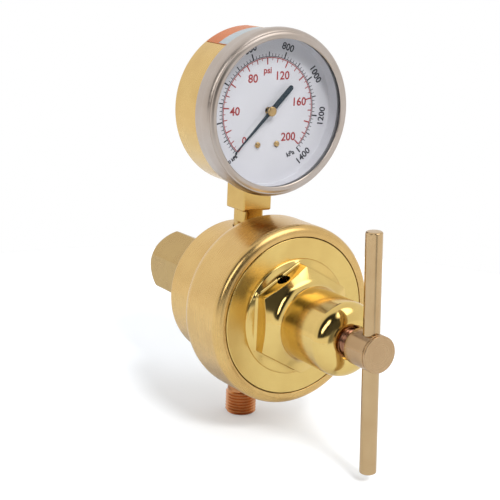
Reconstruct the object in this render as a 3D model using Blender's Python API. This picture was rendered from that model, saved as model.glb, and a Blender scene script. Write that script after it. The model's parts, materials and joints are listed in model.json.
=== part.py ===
"""Single-stage gas pressure regulator with a dial gauge, a T-handle adjusting screw and a nut inlet.

The regulator's axis runs along Y: the T-handle points to -Y and the inlet nut to +Y, where its rear
face holds the origin. The gauge stands up along +Z and the threaded outlet hangs down. Lengths are
written in millimetres and scaled by MM where a mesh is made. A station is a distance along Y from the
body's front face, positive towards the inlet.
"""

import math

import bmesh
import bpy

MM = 0.001

# Places of the main axes and planes.
INLET_END = 106.0
FACE_Y = -INLET_END * MM
PORT_STATION = 40.5
PORT_Y = FACE_Y + PORT_STATION * MM
GAUGE_HEIGHT = 86.4
GAUGE_Z = GAUGE_HEIGHT * MM

# Room left between two pieces that touch on the real object.
GAP = 0.3

# Body.
DRUM_R = 40.4
DRUM_EDGE = 3.6
DRUM_STRAIGHT = 23.0
NECK_R = 32.4
NECK_END = 53.0
RIM_BORE_R = 35.4
LEDGE = 10.2
CHAMBER_R = 27.0
CHAMBER_END = 20.0
PORT_BORE_R = 6.95
PORT_BORE_DEPTH = 15.5
PASSAGE_R = 2.0
PASSAGE_OFFSET = 17.7

# Bonnet.
FLANGE_R = RIM_BORE_R - GAP
FLANGE_BACK = 6.9
COLLAR_R = 26.0
BONNET_FLATS = 42.0
HEX_FRONT = -7.0
HEX_CONE = 27.0
COVE_R = 5.0
BELL_R = 16.2
BELL_FRONT = -36.0
NOSE_R = 8.2
NOSE_END = -42.4
CAVITY_R = 12.8
CAVITY_FRONT = -32.0
VENT_R = 2.9
VENT_STATION = -4.4
VENT_ANGLE = 118.0

# Adjusting screw, T-bar and thrust parts.
HEAD_R = 7.94
HEAD_FRONT = -60.4
HEAD_BACK = -46.1
SCREW_R = 5.55
SCREW_TIP = -24.3
BAR_R = 3.57
BAR_STATION = -54.7
BAR_UP = 50.2
BAR_DOWN = 53.3
BAR_TILT = -2.5
BALL_R = 2.38
BUTTON_FRONT = -22.0
BUTTON_BACK = -17.5
BUTTON_R = 12.0

# Springs: mean radius, wire radius, turns.
MAIN_SPRING = (10.1, 1.3, 4.25)
POPPET_SPRING = (3.1, 0.45, 5.0)

# Inlet.
NUT_FLATS = 28.6
NUT_LENGTH = 36.0
NUT_SOCKET_R = 11.45
NUT_SOCKET_DEPTH = 18.3
NUT_CORNER_ANGLE = 37.0

# Outlet, measured down from the regulator's axis.
OUTLET_R = 7.14
OUTLET_NECK_R = 6.4
OUTLET_END = 57.4

# Gauge. Stations along its depth are measured from the stem's axis.
STEM_FLATS = 14.8
STEM_THREAD_R = 6.6
STEM_NECK_FLATS = 10.6
STEM_NECK_BOTTOM = 34.0
STEM_BLOCK_BOTTOM = 40.2
TOWER_TOP = 20.3
TOWER_FRONT = -2.3
MOVEMENT_SCREW_X = 3.6
MOVEMENT_SCREW_Z = -23.2
CASE_R = 35.2
CASE_BACK = 9.3
CASE_WALL = 1.2
BEZEL_R = 37.0
WINDOW_R = 32.3
DIAL_R = 33.6
DIAL_RIM = -18.5
DIAL_FRONT = -12.4
DIAL_SCREW_X = 5.0
DIAL_SCREW_Z = -15.0
POINTER_FRONT = -15.2
POINTER_ZERO = 225.0

# Gauge movement: the pinion is on the gauge's centre and the sector's pivot below it.
PINION_TEETH = 8
SECTOR_RATIO = 9
PINION_PITCH_R = 1.3
SECTOR_PITCH_R = PINION_PITCH_R * SECTOR_RATIO
SECTOR_PIVOT_Z = -(PINION_PITCH_R + SECTOR_PITCH_R)
TOOTH_TIP = 0.24
TOOTH_ROOT = 0.36
TAIL_LENGTH = 7.0
TAIL_ANGLE = -100.0
PIN_R = 0.45
PIN_HOLE_R = 0.8
TUBE_R = 23.5
TUBE_START = 250.0
TUBE_END = -25.0
TUBE_Y = 0.5

BRASS = (0.75, 0.50, 0.20)
BRASS_BRIGHT = (0.85, 0.60, 0.22)
BRASS_TAN = (0.62, 0.45, 0.27)
BRASS_DULL = (0.55, 0.39, 0.20)
BRASS_RED = (0.45, 0.21, 0.09)
STEEL = (0.45, 0.45, 0.47)


def clear_scene():
    for old in list(bpy.data.objects):
        bpy.data.objects.remove(old, do_unlink=True)


def material(name, colour, metallic=1.0, roughness=0.3):
    made = bpy.data.materials.get(name)
    if made:
        return made
    made = bpy.data.materials.new(name)
    made.use_nodes = True
    shader = made.node_tree.nodes["Principled BSDF"]
    shader.inputs["Base Color"].default_value = (*colour, 1.0)
    shader.inputs["Metallic"].default_value = metallic
    shader.inputs["Roughness"].default_value = roughness
    return made


def polar(radius, degrees):
    """(x, z) of a point on a circle, counter-clockwise from +X as seen from the front."""
    angle = math.radians(degrees)
    return radius * math.cos(angle), radius * math.sin(angle)


def arc(centre, half_sizes, first, last, steps=4):
    """Points (station, radius) of an elliptical arc, with both its ends."""
    points = []
    for i in range(steps + 1):
        angle = math.radians(first + (last - first) * i / steps)
        station = centre[0] + half_sizes[0] * math.cos(angle)
        points.append((station, centre[1] + half_sizes[1] * math.sin(angle)))
    return points


def radius_at(point, degrees, corner_angle):
    """A profile point's radius in one direction. A third value is a size across flats, and a fourth is
    the number of flats."""
    radius = point[1]
    if len(point) < 3:
        return radius
    sides = point[3] if len(point) > 3 else 6
    step = 360.0 / sides
    from_flat = (degrees - corner_angle) % step - step / 2
    return min(radius, point[2] / 2 / math.cos(math.radians(from_flat)))


def turned_mesh(profile, segments, corner_angle=0.0):
    """A bmesh turned about the local Y axis. A profile that starts and ends on the axis makes a solid
    piece, and any other is a closed loop that makes a ring."""
    mesh = bmesh.new()
    solid = profile[0][1] == 0 and profile[-1][1] == 0
    rings = []
    for point in profile:
        if point[1] == 0:
            rings.append([mesh.verts.new((0.0, point[0] * MM, 0.0))])
            continue
        ring = []
        for i in range(segments):
            degrees = corner_angle + 360.0 * i / segments
            x, z = polar(radius_at(point, degrees, corner_angle) * MM, degrees)
            ring.append(mesh.verts.new((x, point[0] * MM, z)))
        rings.append(ring)
    pairs = list(zip(rings, rings[1:]))
    if not solid:
        pairs.append((rings[-1], rings[0]))
    for first, second in pairs:
        for i in range(segments):
            j = (i + 1) % segments
            if len(first) == 1:
                mesh.faces.new((first[0], second[i], second[j]))
            elif len(second) == 1:
                mesh.faces.new((first[i], first[j], second[0]))
            else:
                mesh.faces.new((first[i], first[j], second[j], second[i]))
    return mesh


def prism_mesh(outline, front, back):
    """A bmesh of an outline of (x, z) points extruded along Y from front to back."""
    mesh = bmesh.new()
    corners = [mesh.verts.new((x * MM, front * MM, z * MM)) for x, z in outline]
    face = mesh.faces.new(corners)
    moved = bmesh.ops.extrude_face_region(mesh, geom=[face])["geom"]
    verts = [item for item in moved if isinstance(item, bmesh.types.BMVert)]
    bmesh.ops.translate(mesh, verts=verts, vec=(0.0, (back - front) * MM, 0.0))
    return mesh


def place(name, mesh, finish, location=(0.0, FACE_Y, 0.0), rotation=(0.0, 0.0, 0.0)):
    """Turns a bmesh into a named object with its material, smooth where it is round."""
    bmesh.ops.recalc_face_normals(mesh, faces=mesh.faces)
    data = bpy.data.meshes.new(name)
    mesh.to_mesh(data)
    mesh.free()
    data.materials.append(finish)
    data.shade_smooth()
    data.set_sharp_from_angle(angle=math.radians(35))
    made = bpy.data.objects.new(name, data)
    made.location = location
    made.rotation_euler = rotation
    bpy.context.scene.collection.objects.link(made)
    return made


def turned(name, profile, finish, segments=24, corner_angle=0.0, **where):
    return place(name, turned_mesh(profile, segments, corner_angle), finish, **where)


def prism(name, outline, front, back, finish, **where):
    return place(name, prism_mesh(outline, front, back), finish, **where)


def rod(radius, first, last):
    """The profile of a plain round bar."""
    return [(first, 0), (first, radius), (last, radius), (last, 0)]


def washer(inner, outer, first, last):
    """The profile of a flat ring."""
    return [(first, inner), (first, outer), (last, outer), (last, inner)]


def combine(target, other, operation):
    """Joins another object to the target or cuts it from the target, and hides it from the renders."""
    other.hide_render = True
    other.display_type = "WIRE"
    modifier = target.modifiers.new(operation.title() + " " + other.name, "BOOLEAN")
    modifier.operation = operation
    modifier.object = other


def drill(target, radius, first, last, segments=16, **where):
    """Cuts a round hole along the cutter's local Y axis."""
    name = target.name + "_drill_" + str(len(target.modifiers))
    cutter = turned(name, rod(radius, first, last), target.data.materials[0], segments, **where)
    combine(target, cutter, "DIFFERENCE")


def wire(name, points, radius, finish, resolution=1, location=(0.0, FACE_Y, 0.0)):
    """A round wire along points in millimetres, with closed ends."""
    data = bpy.data.curves.new(name, "CURVE")
    data.dimensions = "3D"
    data.bevel_depth = radius * MM
    data.bevel_resolution = resolution
    data.use_fill_caps = True
    spline = data.splines.new("POLY")
    spline.points.add(len(points) - 1)
    for target, point in zip(spline.points, points):
        target.co = (*[value * MM for value in point], 1.0)
    data.materials.append(finish)
    made = bpy.data.objects.new(name, data)
    made.location = location
    bpy.context.scene.collection.objects.link(made)
    return made


def helix(mean_radius, turns, first, last, per_turn):
    """Points of a coil along Y from one station to another."""
    count = round(turns * per_turn)
    points = []
    for i in range(count + 1):
        x, z = polar(mean_radius, 360.0 * i / per_turn)
        points.append((x, first + (last - first) * i / count, z))
    return points


UPRIGHT = (math.pi / 2, 0.0, 0.0)
PORT_AXIS = {"location": (0.0, PORT_Y, 0.0), "rotation": UPRIGHT}
GAUGE_CENTRE = {"location": (0.0, PORT_Y, GAUGE_Z)}


def in_gauge(x, z):
    """Where an object goes whose own axis is off the gauge's centre."""
    return {"location": (x * MM, PORT_Y, GAUGE_Z + z * MM)}


def make_body():
    """Forged drum with a smaller neck behind it, open in front for the bonnet."""
    shoulder = NECK_R - DRUM_R
    outside = [(0.5, RIM_BORE_R), (0.0, RIM_BORE_R + 0.5)]
    outside += arc((DRUM_EDGE, DRUM_R - DRUM_EDGE), (-DRUM_EDGE, DRUM_EDGE), 0, 90, 3)
    outside += arc((DRUM_STRAIGHT, NECK_R), (-shoulder, -shoulder), 90, 0, 4)
    outside += [(NECK_END - 1.5, NECK_R), (NECK_END, NECK_R - 1.5)]
    inlet_bore = [(NECK_END, 9.6), (45.4, 9.6), (45.4, 8.2), (31.0, 8.2), (31.0, 5.9)]
    inlet_bore += [(CHAMBER_END, 5.9)]
    chamber = [(CHAMBER_END, CHAMBER_R), (LEDGE, CHAMBER_R), (LEDGE, RIM_BORE_R)]
    finish = material("brass_body", BRASS, roughness=0.32)
    body = turned("body", outside + inlet_bore + chamber, finish, 40)
    for side in (1, -1):
        drill(body, PORT_BORE_R, side * PORT_BORE_DEPTH, side * (NECK_R + 5), 20, **PORT_AXIS)
        passage = {"location": (0.0, FACE_Y, side * PASSAGE_OFFSET * MM)}
        drill(body, PASSAGE_R, CHAMBER_END - 2, PORT_STATION, 12, **passage)


def make_bonnet():
    """Screwed-in spring case: round flange, collar, hexagon, bell and rounded nose, with a vent hole."""
    corner = BONNET_FLATS / 2 / math.cos(math.radians(30))
    cone = math.radians(HEX_CONE)
    chamfer_r = BELL_R + COVE_R * (1 - math.sin(cone))
    chamfer_end = HEX_FRONT - (corner - chamfer_r) * math.tan(cone)
    bell_back = chamfer_end - COVE_R * math.cos(cone)
    profile = [(FLANGE_BACK, FLANGE_R), (0.5, FLANGE_R), (0.0, FLANGE_R - 0.5), (0.0, COLLAR_R)]
    profile += [(-0.5, COLLAR_R), (-1.1, COLLAR_R - 0.8), (-1.9, corner, BONNET_FLATS)]
    profile += [(HEX_FRONT, corner, BONNET_FLATS)]
    profile += arc((bell_back, BELL_R + COVE_R), (COVE_R, -COVE_R), HEX_CONE, 90)
    profile += arc((BELL_FRONT, NOSE_R), (BELL_FRONT - NOSE_END, BELL_R - NOSE_R), 90, 180)
    profile += [(NOSE_END + 1.5, SCREW_R + GAP + 0.05), (CAVITY_FRONT, SCREW_R + GAP + 0.05)]
    profile += [(CAVITY_FRONT, CAVITY_R), (-0.5, CAVITY_R), (3.2, 16.5), (3.2, CHAMBER_R)]
    profile += [(FLANGE_BACK, CHAMBER_R)]
    finish = material("brass_bonnet", BRASS_BRIGHT, roughness=0.12)
    bonnet = turned("bonnet", profile, finish, 36, 30.0)
    tilt = math.radians(VENT_ANGLE - 90)
    vent = {"location": (0.0, FACE_Y + VENT_STATION * MM, 0.0), "rotation": (math.pi / 2, -tilt, 0.0)}
    drill(bonnet, VENT_R, CAVITY_R - 3, COLLAR_R, 16, **vent)


def make_adjuster():
    """Adjusting screw, its T-bar, the thrust ball and the button that pushes the main spring."""
    tan = material("brass_tan", BRASS_TAN, roughness=0.38)
    steel = material("spring_steel", STEEL, roughness=0.3)
    slit = -59.3
    profile = [(HEAD_FRONT, 0), (HEAD_FRONT, HEAD_R - 0.4), (HEAD_FRONT + 0.4, HEAD_R), (slit, HEAD_R)]
    profile += [(slit + 0.1, HEAD_R - 0.6), (slit + 0.6, HEAD_R - 0.6), (slit + 0.7, HEAD_R)]
    profile += [(HEAD_BACK - 0.8, HEAD_R), (HEAD_BACK, HEAD_R - 0.8), (HEAD_BACK, SCREW_R)]
    profile += [(SCREW_TIP - 0.6, SCREW_R), (SCREW_TIP, SCREW_R - 0.6), (SCREW_TIP, 0)]
    screw = turned("adjusting_screw", profile, tan, 24)
    bar_axis = {
        "location": (0.0, FACE_Y + BAR_STATION * MM, 0.0),
        "rotation": (math.pi / 2, math.radians(BAR_TILT), 0.0),
    }
    drill(screw, BAR_R + 0.18, -HEAD_R - 2, HEAD_R + 2, 20, **bar_axis)
    bar = [(-BAR_DOWN, 0), (-BAR_DOWN, BAR_R - 0.5), (0.5 - BAR_DOWN, BAR_R), (BAR_UP - 0.5, BAR_R)]
    turned("t_bar", bar + [(BAR_UP, BAR_R - 0.5), (BAR_UP, 0)], tan, 20, **bar_axis)
    centre = SCREW_TIP + GAP + BALL_R
    ball = arc((centre, 0), (BALL_R, BALL_R), 180, 0, 8)
    ball = [(centre - BALL_R, 0)] + ball[1:-1] + [(centre + BALL_R, 0)]
    turned("thrust_ball", ball, steel, 12)
    recess = centre + BALL_R + GAP
    profile = [(recess, 0), (recess, 2.0), (BUTTON_FRONT, 2.9), (BUTTON_FRONT, BUTTON_R - 0.6)]
    profile += [(BUTTON_FRONT + 0.6, BUTTON_R), (BUTTON_BACK, BUTTON_R), (BUTTON_BACK, 8.0)]
    profile += [(BUTTON_BACK + 4.0, 8.0), (BUTTON_BACK + 4.5, 7.5), (BUTTON_BACK + 4.5, 0)]
    turned("spring_button", profile, material("brass_inner", BRASS_DULL), 24)
    mean, wire_r, turns = MAIN_SPRING
    points = helix(mean, turns, BUTTON_BACK + GAP + wire_r, 1.3 - GAP - wire_r, 16)
    wire("adjusting_spring", points, wire_r, steel)


def make_diaphragm_group():
    """Plate, slip ring and diaphragm, clamped between the bonnet and the body's ledge."""
    inner = material("brass_inner", BRASS_DULL)
    profile = [(-2.0, 0), (-2.0, 7.6), (-1.4, 8.2), (1.3, 8.2), (1.3, 12.2), (4.3, 12.2), (4.5, 21.5)]
    turned("diaphragm_plate", profile + [(5.0, 22.0), (8.1, 22.0), (8.1, 0)], inner, 32)
    turned("slip_ring", washer(CHAMBER_R + 0.2, FLANGE_R, 7.2, 8.1), inner, 32)
    rubber = material("diaphragm_rubber", (0.05, 0.05, 0.055), 0.0, 0.6)
    turned("diaphragm", rod(FLANGE_R, 8.4, 9.9), rubber, 32)


def make_valve():
    """Nozzle screwed into the body's web, with the pin, seat disc and sprung poppet behind it."""
    inner = material("brass_inner", BRASS_DULL)
    steel = material("spring_steel", STEEL, roughness=0.3)
    corner = 14.0 / 2 / math.cos(math.radians(30))
    profile = [(16.2, 2.8), (16.2, 7.4, 14.0), (16.8, corner, 14.0), (19.7, corner, 14.0), (19.7, 5.6)]
    turned("nozzle", profile + [(30.4, 5.6), (32.0, 3.8), (32.0, 2.8)], inner, 24, 30.0)
    profile = [(10.2, 0), (10.2, 4.0), (11.4, 4.0), (12.0, 1.5), (34.4, 1.5), (34.4, 0)]
    turned("valve_pin", profile, steel, 16)
    nylon = material("seat_nylon", (0.85, 0.84, 0.78), 0.0, 0.5)
    turned("seat_disc", washer(1.8, 4.2, 32.4, 34.4), nylon, 20)
    profile = [(34.7, 0), (34.7, 4.5), (32.9, 4.5), (32.9, 5.3), (33.4, 5.8), (40.5, 5.8), (40.5, 3.9)]
    turned("poppet", profile + [(36.5, 3.9), (36.5, 0)], inner, 20)
    mean, wire_r, turns = POPPET_SPRING
    points = helix(mean, turns, 36.5 + GAP + wire_r, 45.7 - GAP - wire_r, 12)
    wire("poppet_spring", points, wire_r, steel, 0)
    turned("spring_retainer", washer(2.2, 9.3, 45.7, 47.0), inner, 20)


def make_inlet():
    """Inlet nipple with its filter and gasket, and the hexagon nut that turns on it."""
    dull = material("brass_dull", BRASS_DULL, roughness=0.42)
    corner = 25.4 / 2 / math.cos(math.radians(30))
    shoulder = INLET_END - NUT_SOCKET_DEPTH + GAP
    profile = [(57.3, 4.9), (47.3, 4.9), (47.3, 8.8), (47.8, 9.3), (54.8, 9.3)]
    profile += [(54.8, 13.6, 25.4), (55.4, corner, 25.4), (61.4, corner, 25.4), (62.0, 13.6, 25.4)]
    profile += [(62.0, 6.9), (shoulder, 6.9), (shoulder, 10.4), (shoulder + 3.4, 10.4)]
    profile += arc((shoulder + 5.0, 4.6), (10.0, 4.6), 75, 0)
    turned("inlet_nipple", profile + [(INLET_END - 2.7, 2.4), (57.3, 2.4)], dull, 24, 30.0)
    bronze = material("sintered_bronze", (0.42, 0.26, 0.13), 0.8, 0.75)
    profile = [(57.0, 0), (57.0, 4.6), (47.6, 4.6), (47.6, 3.2), (55.8, 3.2), (55.8, 0)]
    turned("inlet_filter", profile, bronze, 16)
    copper = material("copper_gasket", (0.72, 0.36, 0.22), 1.0, 0.35)
    turned("inlet_gasket", washer(9.65, 13.5, 53.3, 54.5), copper, 24)
    corner = NUT_FLATS / 2 / math.cos(math.radians(30))
    front = INLET_END - NUT_LENGTH
    socket = INLET_END - NUT_SOCKET_DEPTH
    profile = [(front, 7.3), (front, 15.1), (front + 0.8, corner, NUT_FLATS)]
    profile += [(INLET_END - 5.2, corner, NUT_FLATS), (INLET_END - 2.2, 14.9, NUT_FLATS)]
    profile += [(INLET_END, 13.2), (INLET_END, NUT_SOCKET_R), (socket, NUT_SOCKET_R), (socket, 7.3)]
    turned("inlet_nut", profile, dull, 24, NUT_CORNER_ANGLE)


def make_outlet():
    """Threaded outlet nipple with a cone seat in its end."""
    profile = [(-19.5, 3.0), (-19.5, STEM_THREAD_R), (-32.7, STEM_THREAD_R), (-32.7, 8.3)]
    profile += [(-39.8, 8.3), (-40.2, 7.9), (-40.2, OUTLET_NECK_R), (-45.6, OUTLET_NECK_R)]
    profile += [(-46.2, OUTLET_R), (0.6 - OUTLET_END, OUTLET_R), (-OUTLET_END, OUTLET_R - 0.6)]
    profile += [(-OUTLET_END, 5.4)]
    red = material("brass_outlet", BRASS_RED, roughness=0.3)
    turned("outlet_nipple", profile + [(4.4 - OUTLET_END, 3.0)], red, 24, **PORT_AXIS)


def make_gauge_stem():
    """Gauge socket: pipe-thread stem, square wrench block, and a rear half that carries the movement."""
    half_diagonal = STEM_FLATS / math.sqrt(2)
    edge = half_diagonal - 0.35
    top = GAUGE_HEIGHT - TOWER_TOP
    profile = [(54.0, 0), (54.0, 1.8), (19.5, 1.8), (19.5, 6.0), (20.3, STEM_THREAD_R)]
    profile += [(STEM_NECK_BOTTOM, STEM_THREAD_R)]
    profile += [(STEM_NECK_BOTTOM + 0.6, STEM_THREAD_R, STEM_NECK_FLATS, 4)]
    profile += [(STEM_BLOCK_BOTTOM, STEM_THREAD_R, STEM_NECK_FLATS, 4)]
    profile += [(STEM_BLOCK_BOTTOM, edge - 0.8, STEM_FLATS - 1.0, 4)]
    profile += [(STEM_BLOCK_BOTTOM + 0.6, edge, STEM_FLATS, 4)]
    profile += [(top, edge, STEM_FLATS, 4), (top, 0)]
    socket_finish = material("brass_socket", BRASS, roughness=0.3)
    stem = turned("gauge_socket", profile, socket_finish, 24, 45.0, **PORT_AXIS)
    outline = [(-9.0, -26.4), (9.0, -26.4), (9.0, -10.0), (-9.0, -10.0)]
    step = prism("gauge_socket_step", outline, -9.0, TOWER_FRONT, socket_finish, **GAUGE_CENTRE)
    combine(stem, step, "DIFFERENCE")
    for side in (1, -1):
        drill(stem, 1.65, 4.0, 8.0, 12, **in_gauge(side * 3.8, -29.0))
        drill(stem, 1.0, -4.0, 1.5, 12, **in_gauge(side * MOVEMENT_SCREW_X, MOVEMENT_SCREW_Z))


def make_gauge_shell():
    """Case, bezel, window, its gasket, the case screws and the blank label."""
    case = [(CASE_BACK, 0), (CASE_BACK, CASE_R - 1.8)]
    case += arc((CASE_BACK - 1.8, CASE_R - 1.8), (1.8, 1.8), 0, 90, 3)[1:]
    case += [(-18.6, CASE_R), (-18.6, CASE_R - CASE_WALL), (CASE_BACK - CASE_WALL, CASE_R - CASE_WALL)]
    case += [(CASE_BACK - CASE_WALL, 0)]
    brass_case = material("brass_case", BRASS, roughness=0.3)
    shell = turned("gauge_case", case, brass_case, 40, **GAUGE_CENTRE)
    half = STEM_FLATS / 2 + GAP
    outline = [(-half, -38.0), (half, -38.0), (half, -30.0), (-half, -30.0)]
    slot = prism("gauge_case_slot", outline, -half, half, brass_case, **GAUGE_CENTRE)
    combine(shell, slot, "DIFFERENCE")
    silver = material("bezel_metal", (0.60, 0.52, 0.42), roughness=0.3)
    bezel = [(-22.3, WINDOW_R), (-22.3, 34.2), (-21.7, 35.6), (-20.4, 36.7), (-19.0, BEZEL_R)]
    bezel += [(-16.6, BEZEL_R), (-16.2, 36.2), (-10.6, 36.2), (-10.6, CASE_R + GAP)]
    bezel += [(-21.9, CASE_R + GAP), (-21.9, WINDOW_R)]
    turned("gauge_bezel", bezel, silver, 40, **GAUGE_CENTRE)
    glass = material("gauge_glass", (0.9, 0.95, 0.95), 0.0, 0.05)
    turned("gauge_lens", rod(CASE_R - 0.1, -21.6, -19.9), glass, 32, **GAUGE_CENTRE)
    rubber = material("gasket_rubber", (0.04, 0.04, 0.04), 0.0, 0.6)
    turned("lens_gasket", washer(32.6, CASE_R - 0.1, -19.6, -18.9), rubber, 32, **GAUGE_CENTRE)
    steel = material("spring_steel", STEEL, roughness=0.3)
    head = [(4.6, 0), (4.6, 1.3), (9.6, 1.3), (9.6, 2.6), (10.4, 2.4), (10.9, 1.2), (10.9, 0)]
    for name, side in (("case_screw_left", -1), ("case_screw_right", 1)):
        drill(shell, 1.65, CASE_BACK - 4, CASE_BACK + 2, 12, **in_gauge(side * 3.8, -29.0))
        turned(name, head, steel, 12, **in_gauge(side * 3.8, -29.0))
    make_label()


def make_label():
    """Thin blank label bent round the top of the case."""
    step = 360.0 / 40
    angles = [90.0 + step * i for i in range(5)]
    inner = [polar(CASE_R + 0.06, angle) for angle in angles]
    outer = [polar(CASE_R + 0.26, angle) for angle in reversed(angles)]
    paper = material("label_orange", (0.85, 0.35, 0.10), 0.0, 0.5)
    prism("case_label", inner + outer, -10.0, 7.2, paper, **GAUGE_CENTRE)


def make_dial():
    """Dial plate with its two screws, and the pointer with its hub."""
    enamel = material("dial_enamel", (0.62, 0.60, 0.68), 0.0, 0.4)
    plate = [(DIAL_FRONT, 1.6), (DIAL_FRONT, DIAL_R - 0.6), (DIAL_RIM, DIAL_R - 0.6), (DIAL_RIM, DIAL_R)]
    plate += [(DIAL_FRONT + 0.6, DIAL_R), (DIAL_FRONT + 0.6, 1.6)]
    dial = turned("gauge_dial", plate, enamel, 32, **GAUGE_CENTRE)
    brass = material("brass_inner", BRASS_DULL)
    head = [(DIAL_FRONT - 1.1, 0), (DIAL_FRONT - 1.1, 0.9), (DIAL_FRONT - 0.8, 1.3)]
    head += [(DIAL_FRONT - 0.3, 1.3), (DIAL_FRONT - 0.3, 0.7), (-10.3, 0.7), (-10.3, 0)]
    for name, side in (("dial_screw_left", -1), ("dial_screw_right", 1)):
        spot = in_gauge(side * DIAL_SCREW_X, DIAL_SCREW_Z)
        drill(dial, 1.0, DIAL_FRONT - 2, DIAL_FRONT + 2, 12, **spot)
        turned(name, head, brass, 12, **spot)
    blade = [(0.25, 25.5), (0.8, 3.0)] + [polar(2.0, angle) for angle in (60, 30, 0, -30, -60)]
    blade += [(1.2, -3.0), (1.2, -14.0), (0.85, -14.85), (0.0, -15.2)]
    mirrored = [(-x, z) for x, z in reversed(blade[:-1])]
    turn = math.radians(POINTER_ZERO - 90)
    outline = [
        (x * math.cos(turn) - z * math.sin(turn), x * math.sin(turn) + z * math.cos(turn))
        for x, z in blade + mirrored
    ]
    dark = material("pointer_paint", (0.02, 0.035, 0.045), 0.0, 0.35)
    pointer = prism("pointer", outline, POINTER_FRONT, POINTER_FRONT + 0.4, dark, **GAUGE_CENTRE)
    drill(pointer, 1.5, POINTER_FRONT - 1, POINTER_FRONT + 1, 16, **GAUGE_CENTRE)
    hub = [(-16.4, 0), (-16.4, 1.7), (-16.0, 2.15), (-15.5, 2.15), (-15.5, 1.2), (-13.4, 1.2)]
    hub += [(-13.4, 0.85), (-15.9, 0.85), (-15.9, 0)]
    turned("pointer_hub", hub, brass, 16, **GAUGE_CENTRE)


def gear_outline(pitch_radius, teeth_on_circle, first_tooth, last_tooth, turn):
    """Points round a run of straight-sided teeth, counter-clockwise. A tooth is centred on each step."""
    step = 360.0 / teeth_on_circle
    points = []
    for i in range(first_tooth, last_tooth + 1):
        centre = turn + i * step
        for offset, side in ((-0.3, -1), (-0.12, 1), (0.12, 1), (0.3, -1)):
            height = TOOTH_TIP if side > 0 else -TOOTH_ROOT
            points.append(polar(pitch_radius + height, centre + offset * step))
    return points


def make_movement():
    """Bourdon tube gauge movement: plates, pillars, sector, pinion, hairspring, tube, tip and link."""
    brass = material("brass_inner", BRASS_DULL)
    steel = material("spring_steel", STEEL, roughness=0.3)
    outline = [(-7.0, -25.9), (7.0, -25.9), (7.0, -8.0), (4.0, 4.0), (-4.0, 4.0), (-7.0, -8.0)]
    plates = (
        ("movement_front_plate", -11.5, DIAL_SCREW_X, DIAL_SCREW_Z),
        ("movement_rear_plate", -3.4, MOVEMENT_SCREW_X, MOVEMENT_SCREW_Z),
    )
    for name, front, screw_x, screw_z in plates:
        plate = prism(name, outline, front, front + 0.8, brass, **GAUGE_CENTRE)
        drill(plate, 0.85, front - 1, front + 2, 12, **GAUGE_CENTRE)
        drill(plate, 1.2, front - 1, front + 2, 12, **in_gauge(0, SECTOR_PIVOT_Z))
        for side in (1, -1):
            drill(plate, 1.0, front - 1, front + 2, 12, **in_gauge(side * screw_x, screw_z))
    head = [(-5.0, 0), (-5.0, 1.2), (-4.7, 1.5), (-3.7, 1.5), (-3.7, 0.7), (1.2, 0.7), (1.2, 0)]
    for hand, side in (("left", -1), ("right", 1)):
        pillar = in_gauge(side * 5.7, -9.5)
        turned("movement_pillar_" + hand, rod(1.0, -10.4, -3.7), brass, 12, **pillar)
        screw = in_gauge(side * MOVEMENT_SCREW_X, MOVEMENT_SCREW_Z)
        turned("movement_screw_" + hand, head, steel, 12, **screw)
    pinion = gear_outline(PINION_PITCH_R, PINION_TEETH, 0, PINION_TEETH - 1, 270.0 + 180.0 / PINION_TEETH)
    arbor = prism("pinion_arbor", pinion, -7.6, -5.4, steel, **GAUGE_CENTRE)
    shaft = turned("arbor_shaft", rod(0.55, -15.4, -2.0), steel, 12, **GAUGE_CENTRE)
    combine(arbor, shaft, "UNION")
    spiral = []
    for i in range(37):
        x, z = polar(1.5 + 3.6 * i / 36, 30.0 * i)
        spiral.append((x, -4.5, z))
    wire("hairspring", spiral, 0.15, steel, 0, GAUGE_CENTRE["location"])
    make_sector(brass, steel)
    make_tube(brass, steel)


def make_sector(brass, steel):
    """Toothed sector on its shaft, with the tail that the link pushes."""
    teeth = PINION_TEETH * SECTOR_RATIO
    outline = gear_outline(SECTOR_PITCH_R, teeth, -7, 1, 90.0)
    outline += [polar(8.0, 100.0), polar(2.2, 120.0), polar(2.2, 200.0)]
    outline += [polar(TAIL_LENGTH + 0.8, TAIL_ANGLE - 8), polar(TAIL_LENGTH + 1.4, TAIL_ANGLE)]
    outline += [polar(TAIL_LENGTH + 0.8, TAIL_ANGLE + 8), polar(2.2, -20.0), polar(2.2, 40.0)]
    outline += [polar(8.0, 52.0)]
    pivot = in_gauge(0, SECTOR_PIVOT_Z)
    sector = prism("sector_gear", outline, -7.3, -5.7, brass, **pivot)
    drill(sector, 1.1, -9, -4, 12, **pivot)
    x, z = polar(TAIL_LENGTH, TAIL_ANGLE)
    tail = in_gauge(x, z + SECTOR_PIVOT_Z)
    drill(sector, 0.75, -9, -4, 10, **tail)
    turned("sector_shaft", rod(0.9, -11.4, -2.6), steel, 12, **pivot)
    turned("link_pin_tail", rod(0.5, -8.3, -3.9), steel, 10, **tail)


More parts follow.
